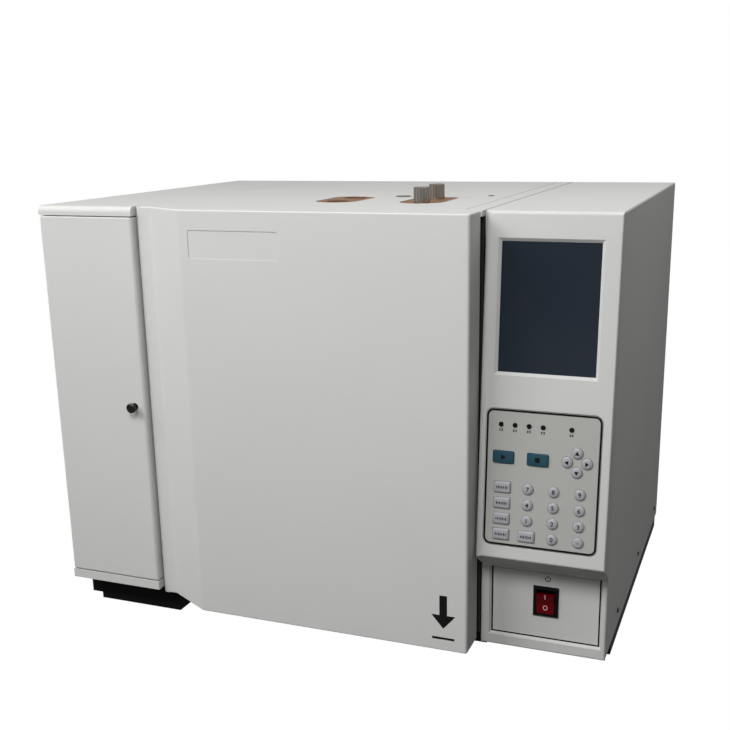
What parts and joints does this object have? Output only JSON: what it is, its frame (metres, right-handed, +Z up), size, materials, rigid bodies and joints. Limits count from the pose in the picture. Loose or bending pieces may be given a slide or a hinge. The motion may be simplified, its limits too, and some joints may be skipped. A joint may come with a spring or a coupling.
{
  "type": "gas chromatograph",
  "caption": "Bench-top gas chromatograph: column oven with a hinged door between a gas cabinet and a control module with screen and keypad.",
  "frame": {"origin": "on the bench under the middle of the whole instrument, rear fittings and door included", "axes": "+X to the operator's right, -Y towards the operator, +Z up"},
  "size_m": [0.6026, 0.4844, 0.4708],
  "materials": {
    "grey_paint": "satin",
    "black_paint": "satin",
    "copper_paint": "satin",
    "zinc_steel": "satin",
    "stainless": "brushed",
    "chrome": "polished",
    "brass": "satin",
    "heater_sheath": "dull",
    "rubber": "matt",
    "black_plastic": "fine texture",
    "grey_plastic": "fine texture",
    "keypad_film": "satin film",
    "key_grey": "satin",
    "teal_key": "satin",
    "red_plastic": "gloss",
    "lamp_lens": "clear over grey",
    "display": "satin anti-glare",
    "wool": "mineral wool",
    "glass_rope": "woven glass fibre",
    "column": "polyimide coat"
  },
  "bodies": {
    "chassis": {"base_frame": "black_paint", "rubber_feet": "rubber", "rear_panel": "grey_paint", "gas_fittings": "brass", "power_inlet": "black_plastic", "gas_cabinet": "grey_paint", "gas_panel": "grey_paint", "pressure_gauges": "chrome", "oven_case": "black_paint", "oven_insulation": "wool", "oven_liner": "stainless", "door_gasket": "glass_rope", "oven_hinges": "stainless", "fan_motor": "zinc_steel", "fan_baffle": "stainless", "heater_coil": "heater_sheath", "column_coil": "column", "top_cover": "grey_paint", "port_plates": "copper_paint", "injectors": "stainless", "septum_nuts": "chrome", "control_cover": "grey_paint", "control_bezel": "grey_plastic", "display_window": "display", "keypad_plate": "keypad_film", "status_leds": "lamp_lens", "switch_panel": "grey_plastic", "switch_bezel": "black_plastic"},
    "oven_door_body": {"oven_door": "grey_paint", "oven_door_liner": "stainless"},
    "gas_door_body": {"gas_door": "grey_paint", "gas_door_knob": "black_plastic"},
    "door_latch_body": {"door_latch": "black_plastic"},
    "carrier_valve_a_body": {"carrier_valve_a": "black_plastic"},
    "carrier_valve_b_body": {"carrier_valve_b": "black_plastic"},
    "oven_fan_body": {"oven_fan": "stainless"},
    "vent_flap_body": {"vent_flap": "stainless"},
    "power_rocker_body": {"power_rocker": "red_plastic"},
    "key_7_body": {"key_7": "key_grey"},
    "key_4_body": {"key_4": "key_grey"},
    "key_1_body": {"key_1": "key_grey"},
    "key_8_body": {"key_8": "key_grey"},
    "key_5_body": {"key_5": "key_grey"},
    "key_2_body": {"key_2": "key_grey"},
    "key_0_body": {"key_0": "key_grey"},
    "key_9_body": {"key_9": "key_grey"},
    "key_6_body": {"key_6": "key_grey"},
    "key_3_body": {"key_3": "key_grey"},
    "key_point_body": {"key_point": "key_grey"},
    "key_menu_1_body": {"key_menu_1": "key_grey"},
    "key_menu_2_body": {"key_menu_2": "key_grey"},
    "key_menu_3_body": {"key_menu_3": "key_grey"},
    "key_menu_4_body": {"key_menu_4": "key_grey"},
    "key_menu_5_body": {"key_menu_5": "key_grey"},
    "key_run_body": {"key_run": "teal_key"},
    "key_stop_body": {"key_stop": "teal_key"},
    "key_up_body": {"key_up": "key_grey"},
    "key_left_body": {"key_left": "key_grey"},
    "key_right_body": {"key_right": "key_grey"},
    "key_down_body": {"key_down": "key_grey"}
  },
  "joints": [
    {"name": "oven_door_swing", "type": "hinge", "parent": "chassis", "child": "oven_door_body", "pos_m": [-0.18175, -0.2089, 0.2432], "axis": [0, 0, -1], "range_deg": [0, 80]},
    {"name": "gas_door_swing", "type": "hinge", "parent": "chassis", "child": "gas_door_body", "pos_m": [-0.29425, -0.2138, 0.2455], "axis": [0, 0, -1], "range_deg": [0, 110]},
    {"name": "door_latch_push", "type": "slide", "parent": "oven_door_body", "child": "door_latch_body", "axis": [0, 0, 1], "range_m": [0, 0.004], "stiffness_N_per_m": 400, "springref_m": -0.002},
    {"name": "carrier_valve_a_turn", "type": "hinge", "parent": "chassis", "child": "carrier_valve_a_body", "pos_m": [-0.24475, -0.1588, 0.323], "axis": [0, -1, 0], "range_deg": [0, 900]},
    {"name": "carrier_valve_b_turn", "type": "hinge", "parent": "chassis", "child": "carrier_valve_b_body", "pos_m": [-0.24475, -0.1588, 0.153], "axis": [0, -1, 0], "range_deg": [0, 900]},
    {"name": "oven_fan_spin", "type": "hinge", "parent": "chassis", "child": "oven_fan_body", "pos_m": [-0.006, 0.0526, 0.221], "axis": [0, 1, 0], "continuous": true},
    {"name": "vent_flap_lift", "type": "hinge", "parent": "chassis", "child": "vent_flap_body", "pos_m": [0.078, 0.2248, 0.3513], "axis": [1, 0, 0], "range_deg": [0, 60]},
    {"name": "power_rocker_tilt", "type": "hinge", "parent": "chassis", "child": "power_rocker_body", "pos_m": [0.24145, -0.1885, 0.077], "axis": [-1, 0, 0], "range_deg": [0, 18]},
    {"name": "key_7_press", "type": "slide", "parent": "chassis", "child": "key_7_body", "axis": [0, 0.9971, -0.0761], "range_m": [0, 0.0008], "stiffness_N_per_m": 600, "springref_m": -0.0006},
    {"name": "key_4_press", "type": "slide", "parent": "chassis", "child": "key_4_body", "axis": [0, 0.9971, -0.0761], "range_m": [0, 0.0008], "stiffness_N_per_m": 600, "springref_m": -0.0006},
    {"name": "key_1_press", "type": "slide", "parent": "chassis", "child": "key_1_body", "axis": [0, 0.9971, -0.0761], "range_m": [0, 0.0008], "stiffness_N_per_m": 600, "springref_m": -0.0006},
    {"name": "key_8_press", "type": "slide", "parent": "chassis", "child": "key_8_body", "axis": [0, 0.9971, -0.0761], "range_m": [0, 0.0008], "stiffness_N_per_m": 600, "springref_m": -0.0006},
    {"name": "key_5_press", "type": "slide", "parent": "chassis", "child": "key_5_body", "axis": [0, 0.9971, -0.0761], "range_m": [0, 0.0008], "stiffness_N_per_m": 600, "springref_m": -0.0006},
    {"name": "key_2_press", "type": "slide", "parent": "chassis", "child": "key_2_body", "axis": [0, 0.9971, -0.0761], "range_m": [0, 0.0008], "stiffness_N_per_m": 600, "springref_m": -0.0006},
    {"name": "key_0_press", "type": "slide", "parent": "chassis", "child": "key_0_body", "axis": [0, 0.9971, -0.0761], "range_m": [0, 0.0008], "stiffness_N_per_m": 600, "springref_m": -0.0006},
    {"name": "key_9_press", "type": "slide", "parent": "chassis", "child": "key_9_body", "axis": [0, 0.9971, -0.0761], "range_m": [0, 0.0008], "stiffness_N_per_m": 600, "springref_m": -0.0006},
    {"name": "key_6_press", "type": "slide", "parent": "chassis", "child": "key_6_body", "axis": [0, 0.9971, -0.0761], "range_m": [0, 0.0008], "stiffness_N_per_m": 600, "springref_m": -0.0006},
    {"name": "key_3_press", "type": "slide", "parent": "chassis", "child": "key_3_body", "axis": [0, 0.9971, -0.0761], "range_m": [0, 0.0008], "stiffness_N_per_m": 600, "springref_m": -0.0006},
    {"name": "key_point_press", "type": "slide", "parent": "chassis", "child": "key_point_body", "axis": [0, 0.9971, -0.0761], "range_m": [0, 0.0008], "stiffness_N_per_m": 600, "springref_m": -0.0006},
    {"name": "key_menu_1_press", "type": "slide", "parent": "chassis", "child": "key_menu_1_body", "axis": [0, 0.9971, -0.0761], "range_m": [0, 0.0008], "stiffness_N_per_m": 600, "springref_m": -0.0006},
    {"name": "key_menu_2_press", "type": "slide", "parent": "chassis", "child": "key_menu_2_body", "axis": [0, 0.9971, -0.0761], "range_m": [0, 0.0008], "stiffness_N_per_m": 600, "springref_m": -0.0006},
    {"name": "key_menu_3_press", "type": "slide", "parent": "chassis", "child": "key_menu_3_body", "axis": [0, 0.9971, -0.0761], "range_m": [0, 0.0008], "stiffness_N_per_m": 600, "springref_m": -0.0006},
    {"name": "key_menu_4_press", "type": "slide", "parent": "chassis", "child": "key_menu_4_body", "axis": [0, 0.9971, -0.0761], "range_m": [0, 0.0008], "stiffness_N_per_m": 600, "springref_m": -0.0006},
    {"name": "key_menu_5_press", "type": "slide", "parent": "chassis", "child": "key_menu_5_body", "axis": [0, 0.9971, -0.0761], "range_m": [0, 0.0008], "stiffness_N_per_m": 600, "springref_m": -0.0006},
    {"name": "key_run_press", "type": "slide", "parent": "chassis", "child": "key_run_body", "axis": [0, 0.9971, -0.0761], "range_m": [0, 0.0008], "stiffness_N_per_m": 600, "springref_m": -0.0006},
    {"name": "key_stop_press", "type": "slide", "parent": "chassis", "child": "key_stop_body", "axis": [0, 0.9971, -0.0761], "range_m": [0, 0.0008], "stiffness_N_per_m": 600, "springref_m": -0.0006},
    {"name": "key_up_press", "type": "slide", "parent": "chassis", "child": "key_up_body", "axis": [0, 0.9971, -0.0761], "range_m": [0, 0.0008], "stiffness_N_per_m": 600, "springref_m": -0.0006},
    {"name": "key_left_press", "type": "slide", "parent": "chassis", "child": "key_left_body", "axis": [0, 0.9971, -0.0761], "range_m": [0, 0.0008], "stiffness_N_per_m": 600, "springref_m": -0.0006},
    {"name": "key_right_press", "type": "slide", "parent": "chassis", "child": "key_right_body", "axis": [0, 0.9971, -0.0761], "range_m": [0, 0.0008], "stiffness_N_per_m": 600, "springref_m": -0.0006},
    {"name": "key_down_press", "type": "slide", "parent": "chassis", "child": "key_down_body", "axis": [0, 0.9971, -0.0761], "range_m": [0, 0.0008], "stiffness_N_per_m": 600, "springref_m": -0.0006}
  ]
}
